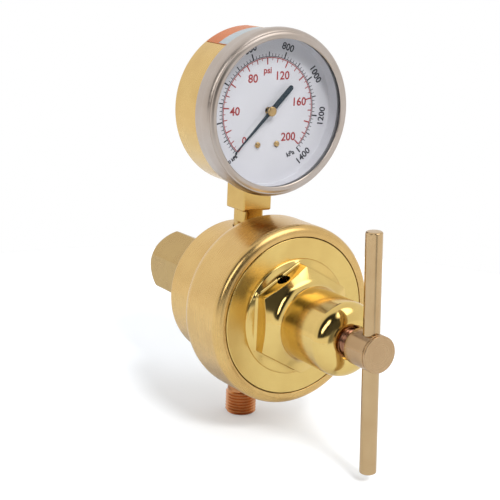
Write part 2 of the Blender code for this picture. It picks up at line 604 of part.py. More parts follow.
def make_tube(brass, steel):
    """C-shaped flattened tube from the socket round to its tip block, and the link to the sector."""
    steps = 32
    mesh = bmesh.new()
    rings = []
    for i in range(steps + 1):
        degrees = TUBE_START + (TUBE_END - TUBE_START) * i / steps
        ring = []
        for side in range(10):
            across, along = polar(1.0, 36.0 * side)
            x, z = polar((TUBE_R + 1.5 * across) * MM, degrees)
            ring.append(mesh.verts.new((x, (TUBE_Y + 4.2 * along) * MM, z)))
        rings.append(ring)
    for first, second in zip(rings, rings[1:]):
        for i in range(10):
            j = (i + 1) % 10
            mesh.faces.new((first[i], first[j], second[j], second[i]))
    mesh.faces.new(rings[0])
    mesh.faces.new(rings[-1])
    bronze = material("tube_bronze", (0.55, 0.33, 0.16), 1.0, 0.35)
    place("bourdon_tube", mesh, bronze, **GAUGE_CENTRE)
    x, z = polar(TUBE_R, TUBE_END)
    block = [(-2.2, -4.6), (2.0, -4.6), (2.0, 0.6), (-2.2, 0.6)]
    turn = math.radians(TUBE_END)
    outline = [
        (px * math.cos(turn) - pz * math.sin(turn), px * math.sin(turn) + pz * math.cos(turn) - 0.9)
        for px, pz in block
    ]
    tip = prism("bourdon_tip", outline, -5.2, 0.5, brass, **in_gauge(x, z))
    tip_pin = (x - 1.6, z - 3.4)
    drill(tip, PIN_HOLE_R, -8, -2, 12, **in_gauge(*tip_pin))
    turned("link_pin_tip", rod(PIN_R, -8.5, -2.5), steel, 12, **in_gauge(*tip_pin))
    x, z = polar(TAIL_LENGTH, TAIL_ANGLE)
    tail = (x, z + SECTOR_PIVOT_Z)
    make_link(brass, tail, tip_pin)


def make_link(brass, tail, tip_pin):
    """Flat link between the sector's tail and the tube's tip, in front of both."""
    reach = math.hypot(tip_pin[0] - tail[0], tip_pin[1] - tail[1])
    slope = math.atan2(tip_pin[1] - tail[1], tip_pin[0] - tail[0])
    half = 1.3
    bar = [(-half, -0.6), (-0.6, -half), (reach + 0.6, -half), (reach + half, -0.6)]
    bar += [(reach + half, 0.6), (reach + 0.6, half), (-0.6, half), (-half, 0.6)]
    outline = [
        (x * math.cos(slope) - z * math.sin(slope), x * math.sin(slope) + z * math.cos(slope))
        for x, z in bar
    ]
    link = prism("tip_link", outline, -8.2, -7.6, brass, **in_gauge(*tail))
    for spot in (tail, tip_pin):
        drill(link, PIN_HOLE_R, -9, -7, 12, **in_gauge(*spot))


def main():
    clear_scene()
    make_body()
    make_bonnet()
    make_adjuster()
    make_diaphragm_group()
    make_valve()
    make_inlet()
    make_outlet()
    make_gauge_stem()
    make_gauge_shell()
    make_dial()
    make_movement()


main()
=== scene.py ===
"""Looks for the gas regulator: fine meshes, procedural materials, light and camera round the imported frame.

Lengths are in millimetres unless a name says otherwise. A station is a distance along a turned piece's own
axis: from the body's front face for what lies on the regulator's axis, up from that axis for the outlet and
the gauge's stem, and along Y from the stem's axis for the gauge.
"""

import json
import math

import bmesh
import bpy
from mathutils import Matrix, Vector


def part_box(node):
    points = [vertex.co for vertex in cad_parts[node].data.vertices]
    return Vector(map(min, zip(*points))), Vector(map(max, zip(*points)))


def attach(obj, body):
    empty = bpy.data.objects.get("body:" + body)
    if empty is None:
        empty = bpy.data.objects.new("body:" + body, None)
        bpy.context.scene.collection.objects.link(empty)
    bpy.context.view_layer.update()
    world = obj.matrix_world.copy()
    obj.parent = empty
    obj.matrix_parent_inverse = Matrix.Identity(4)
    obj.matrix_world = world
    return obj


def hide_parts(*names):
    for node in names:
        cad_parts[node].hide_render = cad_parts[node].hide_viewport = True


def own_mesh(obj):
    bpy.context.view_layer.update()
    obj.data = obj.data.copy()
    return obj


MM = 0.001
SHARP_ANGLE = 38.0

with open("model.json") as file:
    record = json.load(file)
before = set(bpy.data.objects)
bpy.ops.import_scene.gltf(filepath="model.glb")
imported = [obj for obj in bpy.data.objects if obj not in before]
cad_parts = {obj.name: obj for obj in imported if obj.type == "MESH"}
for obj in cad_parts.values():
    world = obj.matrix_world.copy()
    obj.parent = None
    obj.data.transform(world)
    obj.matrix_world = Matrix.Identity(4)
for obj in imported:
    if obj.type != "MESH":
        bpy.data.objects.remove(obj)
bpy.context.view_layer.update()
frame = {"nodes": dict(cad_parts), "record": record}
SLOT_OF = {part["node"]: part["material_slot"] for part in frame["record"]["subparts"]}
BODY_OF = {
    node: body for body, nodes in frame["record"]["behaviour"]["bodies"].items() for node in nodes
}


def middle(node):
    low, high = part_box(node)
    return (low + high) / 2 / MM


# Places and sizes that the frame gives.
FACE_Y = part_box("body")[0].y / MM
PORT_Y = middle("outlet_nipple").y
GAUGE_Z = middle("gauge_bezel").z
DRUM_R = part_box("body")[1].x / MM
FLOOR_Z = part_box("outlet_nipple")[0].z / MM
OUTLET_END = -FLOOR_Z

ON_AXIS = Matrix.Translation((0.0, FACE_Y, 0.0))
ON_PORT = Matrix.Translation((0.0, PORT_Y, 0.0)) @ Matrix.Rotation(math.pi / 2, 4, "X")
ON_GAUGE = Matrix.Translation((0.0, PORT_Y, GAUGE_Z))


def in_gauge(spot, side):
    """The gauge's frame moved to one of two places that mirror each other, on side -1 or 1."""
    x, z = spot
    return ON_GAUGE @ Matrix.Translation((side * x, 0.0, z))


# Body and bonnet.
NECK_R = 32.4
NECK_END = 53.0
RIM_BORE_R = 35.4
CHAMBER_R = 27.0
PORT_BORE_R = 6.95
PORT_STATION = PORT_Y - FACE_Y
FLANGE_R = 35.1
COLLAR_R = 26.0
BONNET_FLATS = 42.0
HEX_CORNER = 30.0
HEX_FRONT = -7.0
HEX_CONE = 27.0
COVE_R = 5.0
BELL_R = 16.2
BELL_FRONT = -36.0
NOSE_R = 8.2
NOSE_END = -42.4
VENT_R = 2.9
VENT_STATION = -4.4
VENT_ANGLE = 118.0

# Adjusting screw and T-bar.
HEAD_R = 7.94
HEAD_FRONT = -60.4
HEAD_BACK = -46.1
SCREW_R = 5.55
SCREW_TIP = -24.3
SCREW_PITCH = 25.4 / 14
BAR_R = 3.57
BAR_STATION = -54.7
BAR_ENDS = (-53.3, 50.2)
BAR_TILT = -2.5

# Inlet.
INLET_END = -FACE_Y
NIPPLE_FLATS = 25.4
NUT_FLATS = 28.6
NUT_FRONT = INLET_END - 36.0
NUT_SOCKET = INLET_END - 18.3
NUT_CORNER = 37.0
INLET_PITCH = 25.4 / 14

# Outlet and gauge stem.
OUTLET_R = 7.14
OUTLET_NECK_R = 6.4
OUTLET_PITCH = 25.4 / 18
STEM_FLATS = 14.8
STEM_NECK_FLATS = 10.6
STEM_THREAD_R = 6.6
BLOCK_BOTTOM = 40.2
TOWER_TOP = 20.3

# Gauge.
CASE_R = 35.2
RIM_R = CASE_R - 0.1
CASE_ROUND = 1.8
CASE_WALL = 1.2
CASE_BACK = 9.3
CASE_FRONT = -18.6
WINDOW_R = 32.3
DIAL_R = 33.6
DIAL_RIM = -18.5
DIAL_FRONT = -12.4
POINTER_FRONT = -15.2
POINTER_ZERO = 225.0
SCALE_ZERO = 230.0
SCALE_TURN = 273.0
PSI_END = 200.0
KPA_PER_PSI = 6.895
PRINT_LIFT = 0.03
PRINT_BOLD = 0.11
DIGIT_SHARE = 0.72
CASE_GAP = 0.3
CASE_SCREW = (3.8, -29.0)
CASE_TAP_R = 1.65
MOVEMENT_SCREW = (3.6, -23.2)
MOVEMENT_TAP_R = 1.0
DIAL_SCREW = (5.0, -15.0)
DIAL_HOLE_R = 1.0


# Meshes.


def polar(radius, degrees):
    angle = math.radians(degrees)
    return radius * math.cos(angle), radius * math.sin(angle)


def arc(centre, half_sizes, first, last, steps=8):
    """Points (station, radius) of an elliptical arc, with both its ends."""
    points = []
    for i in range(steps + 1):
        angle = math.radians(first + (last - first) * i / steps)
        station = centre[0] + half_sizes[0] * math.cos(angle)
        points.append((station, centre[1] + half_sizes[1] * math.sin(angle)))
    return points


def soften(points, size=0.25, closed=False):
    """The outline with each corner of over 25 degrees cut by a small round of that size."""
    made = []
    count = len(points)
    for i, here in enumerate(points):
        if not closed and i in (0, count - 1):
            made.append(here)
            continue
        corner = Vector(here)
        back = Vector(points[i - 1]) - corner
        ahead = Vector(points[(i + 1) % count]) - corner
        if back.length < 1e-6 or ahead.length < 1e-6 or back.angle(-ahead) < math.radians(25):
            made.append(here)
            continue
        start = corner + back.normalized() * min(size, back.length * 0.4)
        end = corner + ahead.normalized() * min(size, ahead.length * 0.4)
        for share in (0.0, 0.33, 0.67, 1.0):
            point = start * (1 - share) ** 2 + corner * (2 * share * (1 - share)) + end * share**2
            made.append(tuple(point))
    return made


def even_angles(count):
    return [360.0 * i / count for i in range(count)]


ROUND = even_angles(120)
FINE_ROUND = even_angles(168)
THREADED = even_angles(96)
SMALL = even_angles(40)


def polygon_angles(sides, corner_angle, corner_width, per_side=18):
    """Directions round a polygon, with three close ones at each rounded corner."""
    angles = []
    step = 360.0 / sides
    for side in range(sides):
        corner = corner_angle + step * side
        angles.append(corner)
        for i in range(per_side + 1):
            angles.append(corner + corner_width + (step - 2 * corner_width) * i / per_side)
    return angles


def polygon(flats, sides, corner_angle, corner_width):
    """A function of the direction that gives a rounded polygon's radius."""
    step = 360.0 / sides
    corner_r = flats / 2 / math.cos(math.radians(step / 2 - corner_width))

    def radius(degrees):
        from_flat = (degrees - corner_angle) % step - step / 2
        return min(flats / 2 / math.cos(math.radians(from_flat)), corner_r)

    return radius


def on_flats(station, side):
    return lambda degrees: (station, side(degrees))


def on_cut(station_at, side, inner, share, lift=0.0):
    """A ring of a chamfer or dome that cuts a polygon: share 0 is on the flats and 1 on the inner radius."""

    def at(degrees):
        outer = side(degrees)
        radius = outer + (inner - outer) * share
        return station_at(radius) + lift, radius if share else outer

    return at


THREAD_SHAPE = (
    (0.03, 0.0), (0.16, 0.0), (0.22, 0.1), (0.47, 0.9), (0.53, 1.0), (0.66, 1.0), (0.72, 0.9), (0.97, 0.1),
)


def thread_height(phase):
    """A 60 degree thread's height, from 0 at its root to 1 at its crest, at a share of its pitch."""
    phase %= 1.0
    if phase < THREAD_SHAPE[0][0]:
        phase += 1.0
    points = THREAD_SHAPE + ((1.0 + THREAD_SHAPE[0][0], THREAD_SHAPE[0][1]),)
    for (start, low), (end, high) in zip(points, points[1:]):
        if phase <= end:
            return low + (high - low) * (phase - start) / (end - start)
    return 0.0


class Thread:
    """A right-handed thread from one station to another, run out by a chamfer at both ends."""

    def __init__(self, first, last, root, crest, pitch, chamfer=0.7):
        self.low, self.high, self.reversed = min(first, last), max(first, last), first > last
        self.root, self.crest, self.pitch, self.chamfer = root, crest, pitch, chamfer

    def radius(self, station, turn):
        height = thread_height((station - self.low) / self.pitch + turn)
        inside = min(station - self.low, self.high - station)
        height = min(height, 1.0 - max(0.0, self.chamfer - inside) / self.chamfer)
        return self.root + (self.crest - self.root) * height

    def strip(self, mesh, angles):
        """Builds the thread's faces and returns its first and last loops."""
        count = len(angles)
        shape = len(THREAD_SHAPE)
        rows = shape * math.ceil((self.high - self.low) / self.pitch + 3)
        grid = []
        for degrees in angles:
            turn = (degrees - angles[0]) / 360
            column = []
            for j in range(rows):
                phase = j // shape - 1 + THREAD_SHAPE[j % shape][0] - turn
                station = min(max(self.low + self.pitch * phase, self.low), self.high)
                x, z = polar(self.radius(station, turn), degrees)
                column.append(mesh.verts.new((x, station, z)))
            grid.append(column)
        for i in range(count):
            shift = shape if i == count - 1 else 0
            beside = grid[(i + 1) % count]
            for j in range(shift, rows - 1):
                mesh.faces.new((grid[i][j], beside[j - shift], beside[j + 1 - shift], grid[i][j + 1]))
        ends = [column[0] for column in grid], [column[-1] for column in grid]
        return ends[::-1] if self.reversed else ends


def add_ring(mesh, entry, angles):
    if not callable(entry) and entry[1] == 0:
        return [mesh.verts.new((0.0, entry[0], 0.0))]
    ring = []
    for degrees in angles:
        station, radius = entry(degrees) if callable(entry) else entry
        x, z = polar(radius, degrees)
        ring.append(mesh.verts.new((x, station, z)))
    return ring


def join(mesh, first, second):
    count = max(len(first), len(second))
    for i in range(count):
        j = (i + 1) % count
        if len(first) == 1:
            mesh.faces.new((first[0], second[i], second[j]))
        elif len(second) == 1:
            mesh.faces.new((first[i], first[j], second[0]))
        else:
            mesh.faces.new((first[i], first[j], second[j], second[i]))


def turned(*sections, angles=ROUND):
    """A bmesh turned about local Y.

    A section is a Thread or a list of rings. A ring is (station, radius) or a function of the direction.
    A first and last ring on the axis make it solid. Otherwise it closes on itself.
    """
    mesh = bmesh.new()
    strips = []
    for section in sections:
        if isinstance(section, Thread):
            strips.append(section.strip(mesh, angles))
            continue
        rings = [add_ring(mesh, entry, angles) for entry in section]
        for first, second in zip(rings, rings[1:]):
            join(mesh, first, second)
        strips.append((rings[0], rings[-1]))
    for before, after in zip(strips, strips[1:]):
        join(mesh, before[1], after[0])
    if len(strips[0][0]) > 1:
        join(mesh, strips[-1][1], strips[0][0])
    bmesh.ops.remove_doubles(mesh, verts=mesh.verts, dist=1e-5)
    return mesh


def prism(outline, front, back, edge=0.12):
    """A bmesh of an outline of (x, z) points between two stations, with its front and back edges eased."""
    mesh = bmesh.new()
    face = mesh.faces.new([mesh.verts.new((x, front, z)) for x, z in outline])
    moved = bmesh.ops.extrude_face_region(mesh, geom=[face])["geom"]
    verts = [item for item in moved if isinstance(item, bmesh.types.BMVert)]
    bmesh.ops.translate(mesh, verts=verts, vec=(0.0, back - front, 0.0))
    if edge:
        rims = [item for item in mesh.edges if abs(item.verts[0].co.y - item.verts[1].co.y) < 1e-6]
        bmesh.ops.bevel(mesh, geom=rims, offset=edge, segments=2, profile=0.5, affect="EDGES")
    return mesh


def made_object(name, mesh, where, closed=True):
    """An object from a bmesh in millimetres, placed through its vertices so that it sits at the origin."""
    mesh.transform(Matrix.Scale(MM, 4) @ where)
    if closed:
        bmesh.ops.recalc_face_normals(mesh, faces=mesh.faces)
        if mesh.calc_volume(signed=True) < 0:
            bmesh.ops.reverse_faces(mesh, faces=mesh.faces)
    data = bpy.data.meshes.new(name)
    mesh.to_mesh(data)
    mesh.free()
    made = bpy.data.objects.new(name, data)
    bpy.context.scene.collection.objects.link(made)
    return made


def cut(target, cutters):
    """The target with other objects cut out of it for good."""
    for cutter in cutters:
        modifier = target.modifiers.new("Cut", "BOOLEAN")
        modifier.operation = "DIFFERENCE"
        modifier.object = cutter
    graph = bpy.context.evaluated_depsgraph_get()
    target.data = bpy.data.meshes.new_from_object(target.evaluated_get(graph))
    target.modifiers.clear()
    for cutter in cutters:
        bpy.data.objects.remove(cutter, do_unlink=True)
    return target


def hole(radius, first, last, where, flare=0.0):
    """A round cutter along local Y. A flare widens its last end."""
    profile = [(first, 0), (first, radius), (last - flare - 1.0, radius), (last - 1.0, radius + flare)]
    profile += [(last, radius + flare), (last, 0)]
    return made_object("cutter", turned(profile, angles=even_angles(48)), where)


def dressed(made, material):
    """Gives an object its material, with smooth shading that keeps flat faces flat."""
    made.data.materials.clear()
    made.data.materials.append(material)
    made.data.shade_smooth()
    made.data.set_sharp_from_angle(angle=math.radians(SHARP_ANGLE))
    modifier = made.modifiers.new("Flat faces", "WEIGHTED_NORMAL")
    modifier.keep_sharp = True
    return made


def piece(name, made, *nodes, material=None):
    """A finished piece that stands for CAD nodes, with the first one's body and slot."""
    dressed(made, material or MATERIALS[SLOT_OF[nodes[0]]])
    made.name = name
    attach(made, BODY_OF[nodes[0]])
    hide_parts(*nodes)
    return made


def detail(name, made, body, slot, material=None):
    """A finished piece that the CAD model has no node for."""
    dressed(made, material or MATERIALS[slot])
    made.name = name
    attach(made, body)
    return made


# Materials.


def feed(tree, socket, value):
    """Sets a node's input to a value, or links it when the value is another node's output."""
    if isinstance(value, bpy.types.NodeSocket):
        tree.links.new(value, socket)
    else:
        socket.default_value = value


def plug(tree, node, **inputs):
    """Feeds a node's inputs by name, with _ for each space."""
    for key, value in inputs.items():
        feed(tree, node.inputs[key.replace("_", " ")], value)


def add(tree, kind, settings=None, **inputs):
    """A new node with its settings and inputs."""
    made = tree.nodes.new("ShaderNode" + kind)
    for key, value in (settings or {}).items():
        setattr(made, key, value)
    plug(tree, made, **inputs)
    return made


def new_material(name):
    made = bpy.data.materials.new(name + "_fine")
    made.use_nodes = True
    return made, made.node_tree, made.node_tree.nodes["Principled BSDF"]


def place_of(tree, centre=(0.0, 0.0, 0.0)):
    """Position in millimetres from a centre in millimetres."""
    coordinates = add(tree, "TexCoord")
    place = coordinates.outputs["Object"]
    scaled = add(tree, "VectorMath", {"operation": "SCALE"}, Vector=place, Scale=1 / MM)
    moved = add(tree, "VectorMath", {"operation": "SUBTRACT"})
    tree.links.new(scaled.outputs[0], moved.inputs[0])
    moved.inputs[1].default_value = centre
    return moved.outputs[0]


def noise(tree, place, scale, detail_level=2.0, stretch=(1.0, 1.0, 1.0)):
    """Noise from 0 to 1 whose features are about one over the scale in size, in millimetres."""
    mapped = add(tree, "Mapping", Vector=place, Scale=stretch)
    made = add(tree, "TexNoise", Vector=mapped.outputs[0], Scale=scale, Detail=detail_level, Roughness=0.55)
    return made.outputs["Fac"]


def spread(tree, value, low, high, start=0.3, end=0.7):
    """Turns the part of a value from start to end into one from low to high."""
    settings = {"clamp": True}
    made = add(tree, "MapRange", settings, Value=value, From_Min=start, From_Max=end, To_Min=low, To_Max=high)
    return made.outputs[0]


def blend_colours(tree, share, first, second):
    made = tree.nodes.new("ShaderNodeMix")
    made.data_type = "RGBA"
    feed(tree, made.inputs[0], share)
    for socket, value in ((made.inputs[6], first), (made.inputs[7], second)):
        feed(tree, socket, (*value, 1.0) if isinstance(value, tuple) else value)
    return made.outputs[2]


def maths(tree, operation, first, second):
    made = tree.nodes.new("ShaderNodeMath")
    made.operation = operation
    feed(tree, made.inputs[0], first)
    feed(tree, made.inputs[1], second)
    return made.outputs[0]


def round_place(tree, place, axis):
    """(distance from the axis, place along it), in which tool marks that run round the axis are straight."""
    mask = (1.0, 0.0, 1.0) if axis == "Y" else (1.0, 1.0, 0.0)
    flat = add(tree, "VectorMath", {"operation": "MULTIPLY"})
    feed(tree, flat.inputs[0], place)
    feed(tree, flat.inputs[1], mask)
    length = add(tree, "VectorMath", {"operation": "LENGTH"})
    tree.links.new(flat.outputs[0], length.inputs[0])
    parts = add(tree, "SeparateXYZ", Vector=place)
    joined = add(tree, "CombineXYZ", X=length.outputs["Value"], Y=parts.outputs[axis])
    return joined.outputs[0]


def tinted(colour, factor, warm=0.0):
    """A colour made lighter or darker, and warmer by moving blue and green down."""
    return (
        min(colour[0] * factor, 1.0),
        min(colour[1] * factor * (1 - warm), 1.0),
        min(colour[2] * factor * (1 - 2 * warm), 1.0),
    )


def metal(slot, colour, roughness, centre=(0.0, 0.0, 0.0), axis="Y", marks=0.3, mark_scale=3.0, waves=0.2,
          patchy=0.06, tarnish=0.08):
    """Machined metal: tool marks round an axis, a slightly uneven surface, faint patches and dull spots."""
    made, tree, shader = new_material(slot)
    place = place_of(tree, centre)
    around = round_place(tree, place, axis)
    lines = noise(tree, around, mark_scale, 3.0)
    cloud = noise(tree, place, 0.08, 3.0)
    speckle = noise(tree, place, 1.4, 4.0)
    clouded = spread(tree, cloud, 0.0, 1.0)
    dull = blend_colours(tree, clouded, tinted(colour, 1.0 - tarnish, 0.04), tinted(colour, 1.03))
    shade = blend_colours(tree, spread(tree, speckle, 0.0, 0.25, 0.55, 0.8), dull, tinted(colour, 0.82, 0.06))
    gloss = maths(tree, "ADD", spread(tree, cloud, roughness - patchy / 2, roughness + patchy / 2),
                  spread(tree, lines, -patchy / 2, patchy / 2))
    ridges = maths(tree, "MULTIPLY", lines, marks)
    height = maths(tree, "ADD", ridges, maths(tree, "MULTIPLY", speckle, waves))
    bump = add(tree, "Bump", Strength=0.35, Distance=0.01 * MM, Height=height)
    plug(tree, shader, Base_Color=shade, Metallic=1.0, Roughness=gloss, Normal=bump.outputs[0])
    return made


def station_of(tree):
    """Station along the regulator's axis."""
    return add(tree, "SeparateXYZ", Vector=place_of(tree, (0.0, FACE_Y, 0.0))).outputs["Y"]


def bonnet_metal():
    """Polished brass that turns satin on the flange, behind the collar."""
    colour = (0.73, 0.53, 0.185)
    made = metal("brass_bonnet", colour, 0.12, marks=0.08, waves=0.06, patchy=0.03)
    tree = made.node_tree
    shader = tree.nodes["Principled BSDF"]
    station = station_of(tree)
    satin = spread(tree, station, 0.0, 0.12, -0.6, -0.1)
    gloss = shader.inputs["Roughness"].links[0].from_socket
    plug(tree, shader, Roughness=maths(tree, "ADD", gloss, satin))
    return made


def screw_metal():
    """Pale brass on the head; on the thread behind it, painted shade and a painted reddish reflection of the
    nose's recess make it darker and redder.
    """
    made = metal("brass_tan", (0.49, 0.33, 0.18), 0.24, marks=0.4, mark_scale=4.0)
    tree = made.node_tree
    shader = tree.nodes["Principled BSDF"]
    station = station_of(tree)
    # Painted shade and painted reflection: the thread behind the head is darkened and reddened where it sits
    # in the shade and reddish reflection of the bonnet's nose.
    painted_recess_shade = spread(tree, station, 0.0, 0.85, HEAD_BACK - 0.6, HEAD_BACK + 0.6)
    pale = shader.inputs["Base Color"].links[0].from_socket
    plug(tree, shader, Base_Color=blend_colours(tree, painted_recess_shade, pale, (0.30, 0.125, 0.075)))
    return made


def coated(slot, colour, roughness, metallic=0.0, grain=0.5, depth=0.01, variation=0.06, **inputs):
    """Paint, plastic or rubber: fine grain, slight unevenness of colour and gloss."""
    made, tree, shader = new_material(slot)
    place = place_of(tree)
    fine = noise(tree, place, 1 / grain, 3.0)
    cloud = noise(tree, place, 0.1, 2.0)
    darker, lighter = tinted(colour, 1.0 - variation), tinted(colour, 1.0 + variation)
    shade = blend_colours(tree, spread(tree, cloud, 0.0, 1.0), darker, lighter)
    gloss = spread(tree, fine, roughness * 0.9, min(1.0, roughness * 1.15))
    bump = add(tree, "Bump", Strength=0.4, Distance=depth * MM, Height=fine)
    plug(tree, shader, Base_Color=shade, Metallic=metallic, Roughness=gloss, Normal=bump.outputs[0], **inputs)
    return made


def glass(slot):
    """Clear window: a thin film of gloss that lets the light reach the dial."""
    made, tree, shader = new_material(slot)
    smear = noise(tree, place_of(tree), 0.15, 3.0)
    gloss = spread(tree, smear, 0.02, 0.06)
    plug(tree, shader, Base_Color=(0.03, 0.035, 0.04, 1.0), Roughness=gloss, Alpha=0.07, IOR=1.5)
    return made


PORT = (0.0, PORT_Y, 0.0)
GAUGE = (0.0, PORT_Y, GAUGE_Z)

MATERIALS = {
    "brass_body": metal("brass_body", (0.68, 0.455, 0.175), 0.27, marks=0.5, waves=0.5, patchy=0.08),
    "brass_bonnet": bonnet_metal(),
    "brass_tan": screw_metal(),
    "brass_inner": metal("brass_inner", (0.62, 0.43, 0.20), 0.3),
    "brass_dull": metal("brass_dull", (0.50, 0.34, 0.13), 0.3, marks=0.5, waves=0.8, patchy=0.1),
    "brass_outlet": metal("brass_outlet", (0.60, 0.28, 0.12), 0.22, centre=PORT, axis="Z"),
    "brass_socket": metal("brass_socket", (0.62, 0.42, 0.14), 0.2, centre=PORT, axis="Z", marks=0.2),
    "brass_case": metal("brass_case", (0.68, 0.47, 0.18), 0.25, centre=GAUGE, marks=0.6, mark_scale=2.0),
    "bezel_metal": metal("bezel_metal", (0.50, 0.44, 0.395), 0.33, centre=GAUGE, marks=0.8, mark_scale=3.0),
    "spring_steel": metal("spring_steel", (0.5, 0.5, 0.52), 0.25),
    "diaphragm_rubber": coated("diaphragm_rubber", (0.03, 0.03, 0.033), 0.6, grain=0.4, depth=0.05),
    "gasket_rubber": coated("gasket_rubber", (0.20, 0.20, 0.21), 0.5, grain=0.5, depth=0.03),
    "seat_nylon": coated("seat_nylon", (0.82, 0.8, 0.72), 0.45, grain=0.6),
    "sintered_bronze": metal("sintered_bronze", (0.42, 0.26, 0.13), 0.6, waves=4.0, tarnish=0.2),
    "copper_gasket": metal("copper_gasket", (0.78, 0.40, 0.26), 0.3),
    "gauge_glass": glass("gauge_glass"),
    "dial_enamel": coated("dial_enamel", (0.66, 0.66, 0.70), 0.4, grain=0.8, depth=0.004, variation=0.02),
    "pointer_paint": coated("pointer_paint", (0.010, 0.024, 0.036), 0.35, grain=0.5, depth=0.006),
    "tube_bronze": metal("tube_bronze", (0.62, 0.38, 0.18), 0.3, centre=GAUGE),
    "label_orange": coated("label_orange", (0.46, 0.12, 0.02), 0.4, grain=0.7, depth=0.006),
}
PRINT_BLACK = coated("print_black", (0.03, 0.03, 0.04), 0.5, depth=0.002)
PRINT_RED = coated("print_red", (0.36, 0.035, 0.035), 0.5, depth=0.002)
LABEL_PALE = coated("label_pale", (0.34, 0.38, 0.40), 0.4, depth=0.004)
BAR_CENTRE = (0.0, FACE_Y + BAR_STATION, 0.0)
BAR_FINISH = metal("bar", (0.55, 0.39, 0.21), 0.22, centre=BAR_CENTRE, axis="Z", marks=0.3)


# Pieces on the regulator's axis.


def make_body():
    """Drum with a rounded front rim and shoulder, a smaller neck, and its bores."""
    rim = soften([(2.0, RIM_BORE_R), (0.0, RIM_BORE_R), (0.0, 36.4)], 0.45)[:-1]
    rim += arc((3.6, DRUM_R - 3.6), (-3.6, 3.6), 0, 90, 10)
    rim += arc((23.0, NECK_R), (8.0, DRUM_R - NECK_R), 90, 0, 12)[:-1]
    inside = [(31.0, NECK_R), (NECK_END, NECK_R), (NECK_END, 9.6), (45.4, 9.6), (45.4, 8.2), (31.0, 8.2)]
    inside += [(31.0, 5.9), (20.0, 5.9), (20.0, CHAMBER_R), (10.2, CHAMBER_R), (10.2, RIM_BORE_R)]
    inside = soften(inside + [rim[0]], 0.8)[:-1]
    body = made_object("body", turned(rim + inside, angles=FINE_ROUND), ON_AXIS)
    cutters = []
    for turn in (0.0, 180.0):
        port = ON_PORT @ Matrix.Rotation(math.radians(turn), 4, "X")
        cutters.append(hole(PORT_BORE_R, 15.5, NECK_R + 5.0, port))
        passage = ON_AXIS @ Matrix.Rotation(math.radians(turn), 4, "Y") @ Matrix.Translation((0.0, 0.0, 17.7))
        cutters.append(hole(2.0, 18.0, PORT_STATION, passage))
    piece("drum_body", cut(body, cutters), "body")


def root_fillet(side, station, outer, share):
    """A ring of the hollow between the collar's sloping face and the hexagon's flats."""

    def at(degrees):
        width = min(1.3, outer - side(degrees))
        turn = math.radians(90 * share)
        return station - width * (1 - math.cos(turn)), side(degrees) + width * (1 - math.sin(turn))

    return at


def make_bonnet():
    """Flange, sloping collar, chamfered hexagon, cove, bell and rounded nose, with the vent hole."""
    width = 0.7
    side = polygon(BONNET_FLATS, 6, HEX_CORNER, width)
    angles = polygon_angles(6, HEX_CORNER, width, per_side=24)
    corner = side(HEX_CORNER)
    slope = math.tan(math.radians(HEX_CONE))
    cone_end_r = BELL_R + COVE_R * (1 - math.sin(math.radians(HEX_CONE)))

    def cone(radius):
        return HEX_FRONT - (corner - radius) * slope

    bell_back = cone(cone_end_r) - COVE_R * math.cos(math.radians(HEX_CONE))
    back = [(3.2, CHAMBER_R), (6.9, CHAMBER_R), (6.9, FLANGE_R), (0.0, FLANGE_R), (0.0, COLLAR_R)]
    back = soften(back, 0.4)
    collar = arc((-0.2, COLLAR_R - 0.9), (-0.9, 0.9), 90, 15, 6)
    shares = (0.0, 0.17, 0.33, 0.5, 0.67, 0.83, 1.0)
    flats = [root_fillet(side, -1.5, COLLAR_R - 1.0, share) for share in shares]
    flats += [on_flats(-3.4, side), on_cut(cone, side, cone_end_r, 0.0, lift=0.25)]
    flats += [on_cut(cone, side, cone_end_r, 0.05), on_cut(cone, side, cone_end_r, 0.95)]
    front = arc((bell_back, BELL_R + COVE_R), (COVE_R, -COVE_R), HEX_CONE, 90, 12)
    front += arc((BELL_FRONT, NOSE_R - 1.0), (BELL_FRONT - NOSE_END, BELL_R - NOSE_R + 1.0), 90, 171, 16)
    mouth = [(NOSE_END, NOSE_R - 0.6), (NOSE_END + 1.6, SCREW_R + 0.4), (-32.0, SCREW_R + 0.4)]
    mouth += [(-32.0, 12.8), (-0.5, 12.8), (3.2, 16.5), (3.2, CHAMBER_R)]
    mouth = soften(mouth, 0.35)[:-1]
    mesh = turned(back + collar + flats + front + mouth, angles=angles)
    bonnet = made_object("bonnet", mesh, ON_AXIS)
    radial = Matrix.Translation((0.0, FACE_Y + VENT_STATION, 0.0)) @ Matrix.Rotation(
        math.radians(90 - VENT_ANGLE), 4, "Y") @ Matrix.Rotation(math.pi / 2, 4, "X")
    piece("hexagon_bonnet", cut(bonnet, [hole(VENT_R, 9.8, 22.2, radial, flare=0.2)]), "bonnet")


